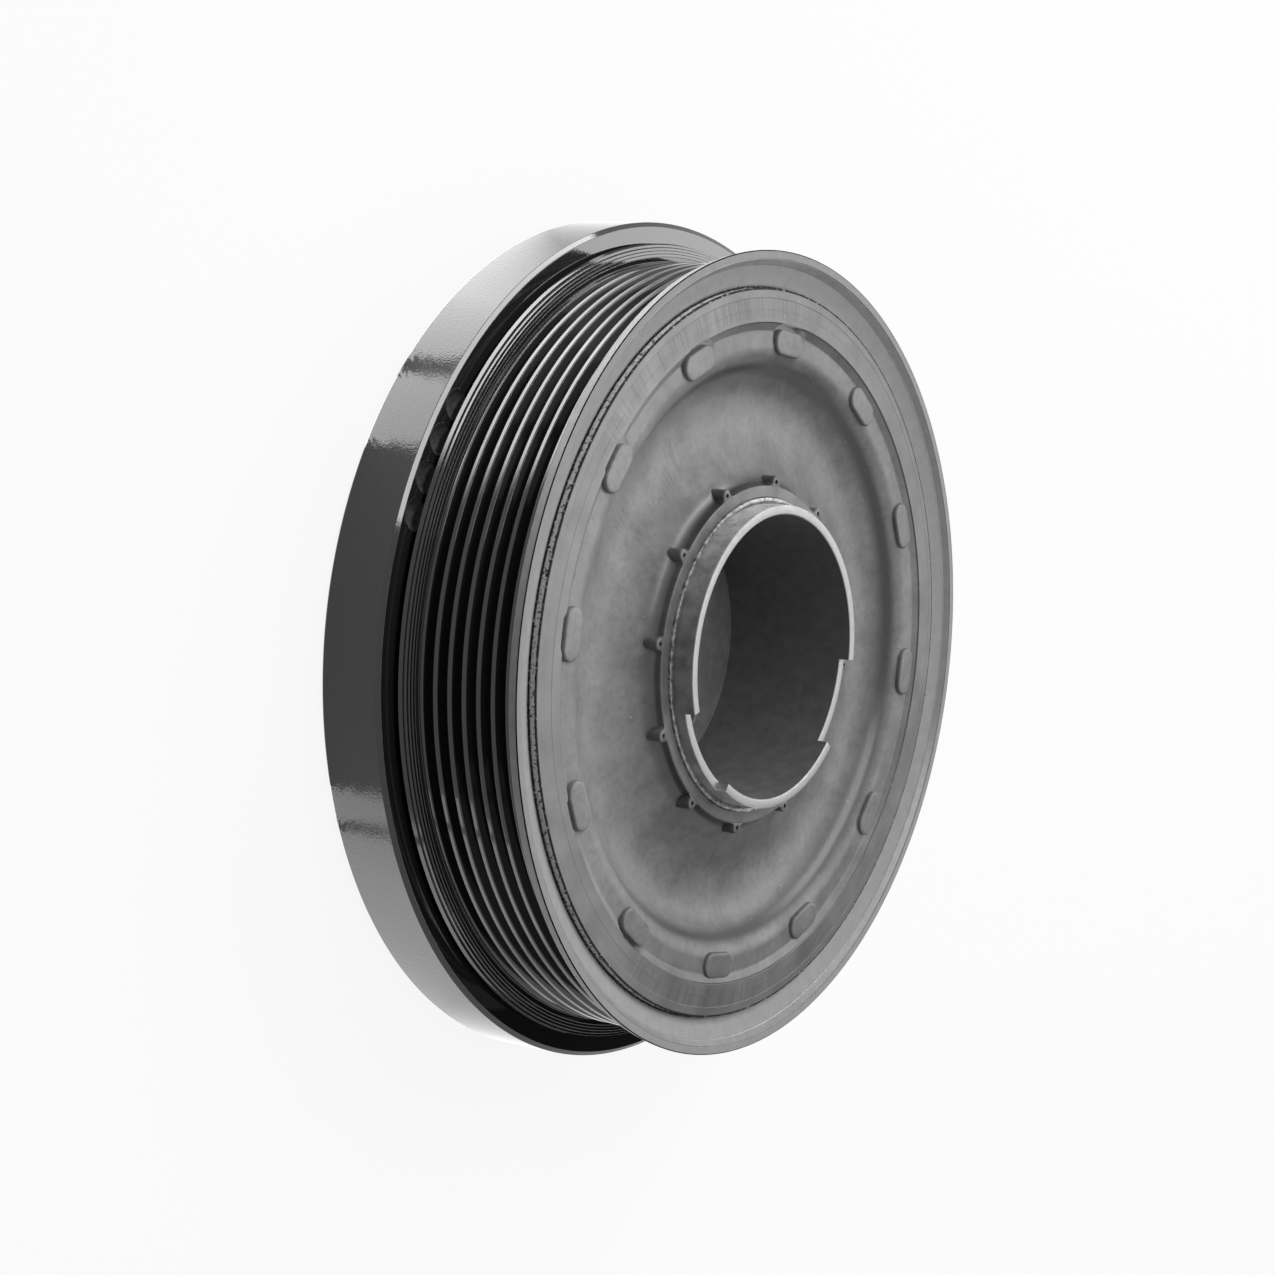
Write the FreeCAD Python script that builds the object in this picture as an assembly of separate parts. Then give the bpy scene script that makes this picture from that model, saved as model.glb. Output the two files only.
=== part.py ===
import FreeCAD
import Part
import math
import os

os.makedirs("parts", exist_ok=True)

# Millimetres. +Z is the crankshaft axis and leaves the front face.
# The origin is the centre of the rear plane of the inertia ring.
# Radii follow each other outwards from the sleeve, heights forwards from the rear plane.

# hub with bolt floor, stepped sleeve, web and damper seat
SLEEVE_R = 32.5
SLEEVE_WALL = 2.0
SLEEVE_RISE = 4.33
SLEEVE_STEP = 2.4
LOW_SECTORS = ((-38.3, -1.5), (-158.7, -120.1))
FLOOR_REAR_Z = 9.0
FLOOR_T = 8.0
WEB_T = 6.0
SEAT_WALL = 7.0
SEAT_REAR_Z = 1.5
SEAT_LENGTH = 12.0
HUB_FILLET = 3.0
PILOT_R = 9.0
BOLT_CIRCLE_R = 20.0
BOLT_HOLE_R = 5.5
BOLT_ANGLES = (45.0, 135.0, 225.0, 315.0)
BORE_CHAMFER = 1.0

# coupling: sheet ring on the sleeve, rubber, flared sheet ring in the rim bore
INNER_RING_T = 1.3
INNER_RING_DEPTH = 0.21
INNER_RING_LENGTH = 17.4
INNER_RING_LEAD = 0.6
RUBBER_SPAN = 41.2
SHEET_T = 2.0
OUTER_RING_LENGTH = 16.2
FLARE_WIDTH = 3.9
FLARE_DROP = 2.3
FLARE_DEPTH = 0.37
FLARE_OFFSET = 2.0
FLARE_CORNER = 0.4

# plain bearing between the collar of the inertia ring and the pulley rim
BUSH_WALL = 1.9
BEARING_CLEARANCE = 0.1
BUSH_LENGTH = 11.5
THRUST_FLANGE_WIDTH = 6.0
THRUST_FLANGE_T = 1.3

# pulley rim with six belt grooves
GROOVE_PITCH = 3.56
GROOVE_COUNT = 6
GROOVE_HALF_ANGLE = 20.0
GROOVE_DEPTH = 3.0
RIB_TIP_FLAT = 0.7
RIM_WALL = 3.05
REAR_FLANGE_HEIGHT = 3.95
REAR_FLANGE_T = 1.6
REAR_FLANGE_STEP = 0.74
FRONT_FLANGE_HEIGHT = 3.03
FRONT_FLANGE_SLOPE = 2.2
FRONT_FLANGE_T = 2.27
RIM_EDGE = 0.45
MOUTH_WIDTH = 1.4
MOUTH_DEPTH = 0.3

# inertia ring with the forward collar and four balance drillings
DAMPER_T = 4.0
COLLAR_WALL = 4.0
COLLAR_STEP = 1.0
COLLAR_LENGTH = 11.9
COLLAR_CHAMFER = 0.6
RING_STEP = 4.5
RING_DEPTH = 15.1
RING_CHAMFER_R = 0.95
RING_CHAMFER_Z = 0.7
RING_REAR_CHAMFER = 1.0
DIMPLE_R = 3.2
DIMPLE_INSET = 4.5
DIMPLE_ANGLES = (147.2, 152.6, 158.1, 163.3)
DIMPLE_CONE_DEPTH = 1.5
DIMPLE_WALL_DEPTH = 0.5

# coupling rubber, front side: distance from the outer sheet ring, depth below the rim face
TEAR_REACH = 4.0
RUBBER_FACE = (
    (3.62, 2.27),
    (3.30, 2.52),
    (3.12, 2.97),
    (2.95, 2.17),
    (2.85, 1.47),
    (2.55, 1.29),
    (-4.02, 0.77),
    (-5.68, 1.83),
    (-10.90, 1.87),
    (-11.90, 2.22),
    (-13.10, 3.37),
    (-15.70, 6.07),
    (-16.90, 7.02),
    (-18.50, 7.57),
)
# coupling rubber, bowl and collar: distance from the inner sheet ring, depth
RUBBER_COLLAR = (
    (18.00, 7.97),
    (15.20, 7.82),
    (12.20, 7.27),
    (9.20, 6.37),
    (6.70, 5.37),
    (4.80, 4.37),
    (3.60, 3.47),
    (2.95, 2.47),
    (2.60, 1.17),
    (2.20, 0.77),
    (0.00, 0.77),
)
# coupling rubber, rear side: the same two distances, depth
RUBBER_REAR_COLLAR = (
    (0.00, 16.07),
    (3.20, 14.07),
    (6.20, 11.57),
    (12.20, 11.37),
)
RUBBER_REAR_FACE = (
    (-22.00, 12.97),
    (-15.00, 10.97),
    (-6.00, 11.17),
    (-2.00, 12.57),
    (0.00, 15.07),
)

# pads and lugs on the coupling rubber, twelve of each at the same angles
PAD_COUNT = 12
PAD_FIRST_ANGLE = 26.3
PAD_INSET = 8.0
PAD_LENGTH = 11.0
PAD_WIDTH = 5.5
PAD_DEPTH = 1.19
PAD_HEIGHT = 2.0
PAD_GAP = 1.2
PAD_NOTCH_DEPTH = 1.8
LUG_ROOT = 2.1
LUG_FOOT = 4.2
LUG_R = 1.35
LUG_DEPTH = 0.82
LUG_HEIGHT = 4.15
PIN_HOLE_R = 0.5
PIN_HOLE_INSET = 3.5
PIN_HOLE_DEPTH = 1.2

# radii that follow from the sizes above
INNER_RING_R = SLEEVE_R + INNER_RING_T
SHEET_BORE_R = INNER_RING_R + RUBBER_SPAN
RIM_BORE_R = SHEET_BORE_R + SHEET_T
FLARE_INNER_R = RIM_BORE_R + FLARE_OFFSET
FLARE_OUTER_R = FLARE_INNER_R + FLARE_WIDTH
GROOVE_ROOT_R = RIM_BORE_R + RIM_WALL
RIB_TIP_R = GROOVE_ROOT_R + GROOVE_DEPTH
REAR_FLANGE_R = RIB_TIP_R + REAR_FLANGE_HEIGHT
FRONT_FLANGE_R = RIB_TIP_R + FRONT_FLANGE_HEIGHT
RING_R = REAR_FLANGE_R + RING_STEP
COLLAR_R = RIM_BORE_R - BUSH_WALL - BEARING_CLEARANCE
COLLAR_BORE_R = COLLAR_R - COLLAR_WALL
RING_BORE_R = COLLAR_BORE_R - COLLAR_STEP
SEAT_R = RING_BORE_R - DAMPER_T

# heights that follow from the sizes above
RIM_REAR_Z = RING_DEPTH + THRUST_FLANGE_T
FIRST_TIP_Z = RIM_REAR_Z + REAR_FLANGE_T + REAR_FLANGE_STEP
LAST_TIP_Z = FIRST_TIP_Z + GROOVE_COUNT * GROOVE_PITCH
FRONT_FLANGE_REAR_Z = LAST_TIP_Z + FRONT_FLANGE_SLOPE
RIM_FRONT_Z = FRONT_FLANGE_REAR_Z + FRONT_FLANGE_T
FLARE_OUTER_Z = RIM_FRONT_Z - FLARE_DEPTH
FLARE_INNER_Z = FLARE_OUTER_Z - FLARE_DROP
SLEEVE_TOP_Z = RIM_FRONT_Z + SLEEVE_RISE


def revolved(points):
    """Solid of revolution about Z from (radius, z) corners."""
    corners = [FreeCAD.Vector(r, 0, z) for r, z in points]
    corners.append(corners[0])
    face = Part.Face(Part.makePolygon(corners))
    return face.revolve(FreeCAD.Vector(0, 0, 0), FreeCAD.Vector(0, 0, 1), 360)


def sector(r_in, r_out, z_low, z_high, a_start, a_end):
    """Tube sector between two angles in degrees."""
    corners = (
        FreeCAD.Vector(r_in, 0, z_low),
        FreeCAD.Vector(r_out, 0, z_low),
        FreeCAD.Vector(r_out, 0, z_high),
        FreeCAD.Vector(r_in, 0, z_high),
    )
    face = Part.Face(Part.makePolygon(list(corners) + [corners[0]]))
    tube = face.revolve(FreeCAD.Vector(0, 0, 0), FreeCAD.Vector(0, 0, 1), a_end - a_start)
    return turned(tube, a_start)


def turned(shape, angle):
    """Copy of a shape turned about Z by an angle in degrees."""
    copy = shape.copy()
    copy.rotate(FreeCAD.Vector(0, 0, 0), FreeCAD.Vector(0, 0, 1), angle)
    return copy


def obround(length, width, z_low, z_high, radius):
    """Prism with two round ends, long side tangential, centred on +X at a radius."""
    half = length / 2 - width / 2
    height = z_high - z_low
    block = Part.makeBox(width, 2 * half, height, FreeCAD.Vector(radius - width / 2, -half, z_low))
    near = Part.makeCylinder(width / 2, height, FreeCAD.Vector(radius, -half, z_low))
    far = Part.makeCylinder(width / 2, height, FreeCAD.Vector(radius, half, z_low))
    return block.fuse([near, far]).removeSplitter()


def pad_angles():
    """Angles of the pads and lugs."""
    return [PAD_FIRST_ANGLE + k * 360.0 / PAD_COUNT for k in range(PAD_COUNT)]


def save(shape, name):
    """Write one node."""
    solid = shape.Solids[0] if len(shape.Solids) == 1 else shape
    print(name, "solids", len(shape.Solids), "valid", shape.isValid(), "volume", round(shape.Volume, 1))
    solid.exportStep("parts/" + name + ".step")


def flare_slope():
    """Rise of the flared edge per millimetre of radius."""
    return FLARE_DROP / FLARE_WIDTH


def flare_front_z(radius):
    """Height of the front side of the flare at a radius."""
    return FLARE_INNER_Z + (radius - FLARE_INNER_R) * flare_slope()


def flare_back_z(radius):
    """Height of the back side of the flare at a radius."""
    return flare_front_z(radius) - SHEET_T * math.hypot(1, flare_slope())


def placed(points, radius):
    """Corners given as (distance from a radius, depth below the rim face)."""
    return [(radius + distance, RIM_FRONT_Z - depth) for distance, depth in points]


def inertia_ring():
    """Outer mass with the forward collar for the bearing and four balance drillings."""
    collar_top = RING_DEPTH + COLLAR_LENGTH
    body = revolved((
        (RING_BORE_R, 0),
        (RING_R - RING_REAR_CHAMFER, 0),
        (RING_R, RING_REAR_CHAMFER),
        (RING_R, RING_DEPTH - RING_CHAMFER_Z),
        (RING_R - RING_CHAMFER_R, RING_DEPTH),
        (COLLAR_R, RING_DEPTH),
        (COLLAR_R, collar_top - COLLAR_CHAMFER),
        (COLLAR_R - COLLAR_CHAMFER, collar_top),
        (COLLAR_BORE_R, collar_top),
        (COLLAR_BORE_R, RING_DEPTH),
        (RING_BORE_R, RING_DEPTH - COLLAR_STEP),
    ))
    wall_z = RING_DEPTH - DIMPLE_WALL_DEPTH
    place = FreeCAD.Vector(RING_R - DIMPLE_INSET, 0, wall_z)
    tip = FreeCAD.Vector(RING_R - DIMPLE_INSET, 0, wall_z - DIMPLE_CONE_DEPTH)
    wall = Part.makeCylinder(DIMPLE_R, DIMPLE_WALL_DEPTH, place)
    cone = Part.makeCone(0, DIMPLE_R, DIMPLE_CONE_DEPTH, tip)
    drill = wall.fuse(cone)
    return body.cut([turned(drill, a) for a in DIMPLE_ANGLES])


def plain_bearing():
    """Bush in the rim bore with a thrust flange on the face of the inertia ring."""
    inner = COLLAR_R + BEARING_CLEARANCE
    flange_r = RIM_BORE_R + THRUST_FLANGE_WIDTH
    return revolved((
        (inner, RING_DEPTH),
        (flange_r, RING_DEPTH),
        (flange_r, RIM_REAR_Z),
        (RIM_BORE_R, RIM_REAR_Z),
        (RIM_BORE_R, RING_DEPTH + BUSH_LENGTH),
        (inner, RING_DEPTH + BUSH_LENGTH),
    ))


def pulley_rim():
    """Belt rim: two flanges, six grooves and a counterbore for the flare."""
    flank = GROOVE_DEPTH * math.tan(math.radians(GROOVE_HALF_ANGLE))
    half_flat = RIB_TIP_FLAT / 2
    flange_front = RIM_REAR_Z + REAR_FLANGE_T
    points = [
        (RIM_BORE_R, RIM_REAR_Z),
        (REAR_FLANGE_R - RIM_EDGE, RIM_REAR_Z),
        (REAR_FLANGE_R, RIM_REAR_Z + RIM_EDGE),
        (REAR_FLANGE_R, flange_front - RIM_EDGE),
        (REAR_FLANGE_R - RIM_EDGE, flange_front),
        (RIB_TIP_R, FIRST_TIP_Z - half_flat),
    ]
    for k in range(GROOVE_COUNT):
        low = FIRST_TIP_Z + k * GROOVE_PITCH + half_flat
        high = low + GROOVE_PITCH - RIB_TIP_FLAT
        points.append((RIB_TIP_R, low))
        points.append((GROOVE_ROOT_R, low + flank))
        points.append((GROOVE_ROOT_R, high - flank))
        points.append((RIB_TIP_R, high))
    points += [
        (RIB_TIP_R, LAST_TIP_Z + half_flat),
        (FRONT_FLANGE_R - RIM_EDGE, FRONT_FLANGE_REAR_Z - RIM_EDGE),
        (FRONT_FLANGE_R, FRONT_FLANGE_REAR_Z),
        (FRONT_FLANGE_R, RIM_FRONT_Z - RIM_EDGE),
        (FRONT_FLANGE_R - RIM_EDGE, RIM_FRONT_Z),
        (FLARE_OUTER_R + MOUTH_WIDTH, RIM_FRONT_Z),
        (FLARE_OUTER_R, RIM_FRONT_Z - MOUTH_DEPTH),
        (FLARE_OUTER_R, flare_back_z(FLARE_OUTER_R)),
        (RIM_BORE_R, flare_back_z(RIM_BORE_R)),
    ]
    return revolved(points)


def coupling_outer_ring():
    """Sheet ring pressed in the rim, with the flared front edge."""
    rear = RIM_FRONT_Z - FLARE_DEPTH - OUTER_RING_LENGTH
    return revolved((
        (SHEET_BORE_R, rear),
        (RIM_BORE_R, rear),
        (RIM_BORE_R, flare_back_z(RIM_BORE_R)),
        (FLARE_OUTER_R, flare_back_z(FLARE_OUTER_R)),
        (FLARE_OUTER_R, FLARE_OUTER_Z - FLARE_CORNER),
        (FLARE_OUTER_R - FLARE_CORNER, flare_front_z(FLARE_OUTER_R - FLARE_CORNER)),
        (SHEET_BORE_R, flare_front_z(SHEET_BORE_R)),
    ))


def rubber_lug(top):
    """Lug on +X: round peg with a pin hole and a foot that widens towards the collar."""
    root = INNER_RING_R + LUG_ROOT
    pin = INNER_RING_R + PIN_HOLE_INSET
    low = top - LUG_HEIGHT
    corners = [
        FreeCAD.Vector(root, -LUG_FOOT / 2, low),
        FreeCAD.Vector(pin, -LUG_R, low),
        FreeCAD.Vector(pin, LUG_R, low),
        FreeCAD.Vector(root, LUG_FOOT / 2, low),
    ]
    foot = Part.Face(Part.makePolygon(corners + [corners[0]])).extrude(FreeCAD.Vector(0, 0, LUG_HEIGHT))
    peg = Part.makeCylinder(LUG_R, LUG_HEIGHT, FreeCAD.Vector(pin, 0, low))
    hole = Part.makeCylinder(PIN_HOLE_R, PIN_HOLE_DEPTH, FreeCAD.Vector(pin, 0, top - PIN_HOLE_DEPTH))
    return foot.fuse(peg).cut(hole)


def coupling_rubber():
    """Bonded rubber between the two sheet rings, with twelve pads and twelve lugs."""
    tear_r = SHEET_BORE_R + TEAR_REACH
    points = [(SHEET_BORE_R, flare_front_z(SHEET_BORE_R)), (tear_r, flare_front_z(tear_r))]
    points += placed(RUBBER_FACE, SHEET_BORE_R)
    points += placed(RUBBER_COLLAR, INNER_RING_R)
    points += placed(RUBBER_REAR_COLLAR, INNER_RING_R)
    points += placed(RUBBER_REAR_FACE, SHEET_BORE_R)
    pad_r = SHEET_BORE_R - PAD_INSET
    notch = obround(
        PAD_LENGTH + 2 * PAD_GAP, PAD_WIDTH + 2 * PAD_GAP,
        RIM_FRONT_Z - PAD_NOTCH_DEPTH, RIM_FRONT_Z, pad_r)
    body = revolved(points).cut([turned(notch, a) for a in pad_angles()])
    pad_top = RIM_FRONT_Z - PAD_DEPTH
    pad = obround(PAD_LENGTH, PAD_WIDTH, pad_top - PAD_HEIGHT, pad_top, pad_r)
    lug = rubber_lug(RIM_FRONT_Z - LUG_DEPTH)
    additions = []
    for a in pad_angles():
        additions.append(turned(pad, a))
        additions.append(turned(lug, a))
    return body.fuse(additions)


def coupling_inner_ring():
    """Sheet ring pressed on the sleeve of the hub."""
    top = RIM_FRONT_Z - INNER_RING_DEPTH
    return revolved((
        (SLEEVE_R, top - INNER_RING_LENGTH),
        (INNER_RING_R, top - INNER_RING_LENGTH),
        (INNER_RING_R, top),
        (SLEEVE_R + INNER_RING_LEAD, top),
        (SLEEVE_R, top - INNER_RING_LEAD),
    ))


def damper_rubber():
    """Rubber ring between the damper seat of the hub and the inertia ring."""
    return revolved((
        (SEAT_R, SEAT_REAR_Z),
        (RING_BORE_R, SEAT_REAR_Z),
        (RING_BORE_R, SEAT_REAR_Z + SEAT_LENGTH),
        (SEAT_R, SEAT_REAR_Z + SEAT_LENGTH),
    ))


def hub():
    """Hub with bolt floor, stepped sleeve, web and damper seat."""
    seat_inner = SEAT_R - SEAT_WALL
    web_top = FLOOR_REAR_Z + WEB_T
    floor_front = FLOOR_REAR_Z + FLOOR_T
    sleeve_bore = SLEEVE_R - SLEEVE_WALL
    body = revolved((
        (PILOT_R + BORE_CHAMFER, FLOOR_REAR_Z),
        (seat_inner - HUB_FILLET, FLOOR_REAR_Z),
        (seat_inner, FLOOR_REAR_Z - HUB_FILLET),
        (seat_inner, SEAT_REAR_Z),
        (SEAT_R, SEAT_REAR_Z),
        (SEAT_R, SEAT_REAR_Z + SEAT_LENGTH),
        (SEAT_R - HUB_FILLET, web_top),
        (SLEEVE_R + HUB_FILLET, web_top),
        (SLEEVE_R, web_top + HUB_FILLET),
        (SLEEVE_R, SLEEVE_TOP_Z),
        (sleeve_bore, SLEEVE_TOP_Z),
        (sleeve_bore, floor_front),
        (PILOT_R, floor_front),
        (PILOT_R, FLOOR_REAR_Z + BORE_CHAMFER),
    ))
    cuts = []
    for a_start, a_end in LOW_SECTORS:
        cuts.append(sector(
            sleeve_bore - SLEEVE_WALL, SLEEVE_R + SLEEVE_WALL,
            SLEEVE_TOP_Z - SLEEVE_STEP, SLEEVE_TOP_Z + SLEEVE_STEP, a_start, a_end))
    bolt_place = FreeCAD.Vector(BOLT_CIRCLE_R, 0, FLOOR_REAR_Z)
    bolt = Part.makeCylinder(BOLT_HOLE_R, FLOOR_T, bolt_place)
    cuts += [turned(bolt, a) for a in BOLT_ANGLES]
    return body.cut(cuts)


save(inertia_ring(), "inertia_ring")
save(plain_bearing(), "plain_bearing")
save(pulley_rim(), "pulley_rim")
save(coupling_outer_ring(), "coupling_outer_ring")
save(coupling_rubber(), "coupling_rubber")
save(coupling_inner_ring(), "coupling_inner_ring")
save(damper_rubber(), "damper_rubber")
save(hub(), "hub")
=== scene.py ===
import bpy
import numpy as np
from mathutils import Matrix


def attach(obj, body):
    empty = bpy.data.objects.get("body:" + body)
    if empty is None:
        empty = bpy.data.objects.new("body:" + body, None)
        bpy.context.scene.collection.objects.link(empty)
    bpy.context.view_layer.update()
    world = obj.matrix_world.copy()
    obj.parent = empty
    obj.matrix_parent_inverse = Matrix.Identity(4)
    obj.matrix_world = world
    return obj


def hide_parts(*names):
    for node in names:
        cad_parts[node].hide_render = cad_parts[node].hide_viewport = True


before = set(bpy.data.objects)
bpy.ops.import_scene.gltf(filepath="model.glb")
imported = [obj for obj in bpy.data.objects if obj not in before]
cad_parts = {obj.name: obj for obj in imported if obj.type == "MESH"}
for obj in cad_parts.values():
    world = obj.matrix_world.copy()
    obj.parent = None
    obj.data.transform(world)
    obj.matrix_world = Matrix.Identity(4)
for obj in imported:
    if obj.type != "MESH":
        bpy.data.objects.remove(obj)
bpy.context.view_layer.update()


# Camera. The view of the photograph, solved from seven rib tips of the belt rim: the lens
# looks down 34 degrees on the front face and is turned so that the axis leans to the right.
camera_data = bpy.data.cameras.new("camera")
camera_data.sensor_width = 36.0
camera_data.lens = 78.70
camera_data.clip_start = 0.01
camera_data.clip_end = 50.0
camera = bpy.data.objects.new("camera", camera_data)
bpy.context.scene.collection.objects.link(camera)
camera.matrix_world = Matrix((
    (0.567164, 0.000000, -0.823605, -0.506640),
    (0.076778, 0.995645, 0.052872, 0.033351),
    (0.820018, -0.093222, 0.564694, 0.359832),
    (0.0, 0.0, 0.0, 1.0)))
bpy.context.scene.camera = camera
bpy.context.scene.view_settings.view_transform = "Standard"


# Table and room. A plain white table in a white room: the camera and the gloss of the part see
# them bright, but they send little light of their own, so that the lamps shape the part.
def node_material(name):
    """Material with an empty node tree that ends in one Principled shader."""
    material = bpy.data.materials.new(name)
    material.use_nodes = True
    nodes = material.node_tree.nodes
    nodes.clear()
    out = nodes.new("ShaderNodeOutputMaterial")
    shader = nodes.new("ShaderNodeBsdfPrincipled")
    material.node_tree.links.new(shader.outputs["BSDF"], out.inputs["Surface"])
    return material, nodes, material.node_tree.links, shader


def calculated(nodes, links, operation, *sources):
    """Result of a Math node; each source is a socket or a plain number."""
    step = nodes.new("ShaderNodeMath")
    step.operation = operation
    for slot, source in zip(step.inputs, sources):
        if isinstance(source, (int, float)):
            slot.default_value = source
        else:
            links.new(source, slot)
    return step.outputs[0]


def seen_by_camera_or_gloss(nodes, links):
    """1 for camera, glossy and transmission rays, 0 for the rays that carry diffuse light."""
    ray = nodes.new("ShaderNodeLightPath")
    either = calculated(nodes, links, "MAXIMUM", ray.outputs["Is Camera Ray"], ray.outputs["Is Glossy Ray"])
    return calculated(nodes, links, "MAXIMUM", either, ray.outputs["Is Transmission Ray"])


def flat_sheet(name, corners):
    """Object with one four-sided face through the corners."""
    mesh = bpy.data.meshes.new(name)
    mesh.from_pydata(corners, [], [(0, 1, 2, 3)])
    sheet = bpy.data.objects.new(name, mesh)
    bpy.context.scene.collection.objects.link(sheet)
    return sheet


table = flat_sheet("table", [(-4, -4, 0), (4, -4, 0), (4, 4, 0), (-4, 4, 0)])
material, nodes, links, shader = node_material("table_white")
shader.inputs["Base Color"].default_value = (0.80, 0.80, 0.80, 1)
shader.inputs["Roughness"].default_value = 0.9
shader.inputs["Specular IOR Level"].default_value = 0.0
glow = nodes.new("ShaderNodeEmission")
glow.inputs["Color"].default_value = (1, 1, 1, 1)
glow.inputs["Strength"].default_value = 1.0
mix = nodes.new("ShaderNodeMixShader")
glow_share = calculated(nodes, links, "MULTIPLY", seen_by_camera_or_gloss(nodes, links), 0.9)
links.new(glow_share, mix.inputs[0])
links.new(shader.outputs["BSDF"], mix.inputs[1])
links.new(glow.outputs["Emission"], mix.inputs[2])
links.new(mix.outputs[0], nodes["Material Output"].inputs["Surface"])
table.data.materials.append(material)

room = bpy.data.worlds.new("room")
bpy.context.scene.world = room
room.use_nodes = True
nodes, links = room.node_tree.nodes, room.node_tree.links
nodes.clear()
out = nodes.new("ShaderNodeOutputWorld")
mix = nodes.new("ShaderNodeMixShader")
links.new(seen_by_camera_or_gloss(nodes, links), mix.inputs[0])
light_sent, white_seen = 0.12, 1.0
for slot, strength in ((1, light_sent), (2, white_seen)):
    white = nodes.new("ShaderNodeBackground")
    white.inputs["Color"].default_value = (1, 1, 1, 1)
    white.inputs["Strength"].default_value = strength
    links.new(white.outputs[0], mix.inputs[slot])
links.new(mix.outputs[0], out.inputs["Surface"])


# Lamps. A large soft box low behind the part, in the mirror direction of its flat faces, a weak
# one above, and two narrow bright strips whose reflection runs along the chamfer of the drum.
part_middle = np.array((0, 0, 0.04))


def area_light(name, width, height, radiance):
    """Rectangular lamp with the same radiance whatever its size."""
    light = bpy.data.lights.new(name, "AREA")
    light.shape = "RECTANGLE"
    light.size = width
    light.size_y = height
    light.energy = radiance * width * height * np.pi
    lamp = bpy.data.objects.new(name, light)
    bpy.context.scene.collection.objects.link(lamp)
    return lamp


def aim(lamp, place, side):
    """Stands a lamp at a place, faces it to the middle of the part and lays its width along side."""
    away = place - part_middle
    away = away / np.linalg.norm(away)
    side = side / np.linalg.norm(side)
    axes = np.stack([side, np.cross(away, side), away, place], 1)
    lamp.matrix_world = Matrix([*axes.tolist(), (0, 0, 0, 1)])


def ranged(nodes, links, source, low, high, at_low=0.0, at_high=1.0, kind="SMOOTHSTEP"):
    """Value that goes from at_low to at_high while the source goes from low to high."""
    step = nodes.new("ShaderNodeMapRange")
    step.interpolation_type = kind
    links.new(source, step.inputs["Value"])
    for key, number in zip(("From Min", "From Max", "To Min", "To Max"), (low, high, at_low, at_high)):
        step.inputs[key].default_value = number
    return step.outputs["Result"]


def towards(azimuth, elevation, distance):
    """Place in metres at an azimuth and elevation in degrees from the middle of the part."""
    a, e = np.radians(azimuth), np.radians(elevation)
    return np.array((np.cos(e) * np.cos(a), np.cos(e) * np.sin(a), np.sin(e))) * distance + part_middle


def soft_box(name, place, width, height, radiance, fade=None):
    """Area light at a place with its width level. A fade is a row of values: the axis, the two
    places on it between which the radiance rises, and the share that is left before them."""
    box = area_light(name, width, height, radiance)
    aim(box, place, np.cross((0, 0, 1), place - part_middle))
    if fade is not None:
        box.data.use_nodes = True
        nodes, links = box.data.node_tree.nodes, box.data.node_tree.links
        axes = nodes.new("ShaderNodeSeparateXYZ")
        links.new(nodes.new("ShaderNodeNewGeometry").outputs["Position"], axes.inputs[0])
        level = ranged(nodes, links, axes.outputs[fade[0]], *fade[1:])
        links.new(level, nodes["Emission"].inputs["Strength"])


def strip_box(name, start, stop, distance, width, radiance):
    """Long narrow light between two directions (azimuth, elevation) that faces the part."""
    a, b = towards(*start, distance), towards(*stop, distance)
    aim(area_light(name, np.linalg.norm(b - a), width, radiance), (a + b) / 2, b - a)


soft_box("key_box", towards(15, 42, 1.25), 0.80, 0.58, 4.6, ("Y", -0.22, 0.22, 0.25))
soft_box("front_box", towards(-40, 64, 1.2), 0.80, 0.70, 1.8)
strip_box("hot_low", (56.5, 18.8), (93, 43.7), 1.1, 0.17, 11.0)
strip_box("hot_high", (93, 43.7), (144, 60.5), 1.1, 0.14, 11.0)


# Dark card. Black cloth on a card that stands behind the part, out of the picture, beside the
# large soft box, so that the part mirrors something dark there.
dark_card = flat_sheet("dark_card", [
    (0.72, -0.62, 0.22), (0.86, -0.13, 0.22), (0.62, -0.10, 0.86), (0.50, -0.50, 0.86)])
material, nodes, links, shader = node_material("dark_cloth")
shader.inputs["Base Color"].default_value = (0.01, 0.01, 0.01, 1)
shader.inputs["Roughness"].default_value = 1.0
shader.inputs["Specular IOR Level"].default_value = 0.0
dark_card.data.materials.append(material)
dark_card.visible_camera = False


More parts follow.
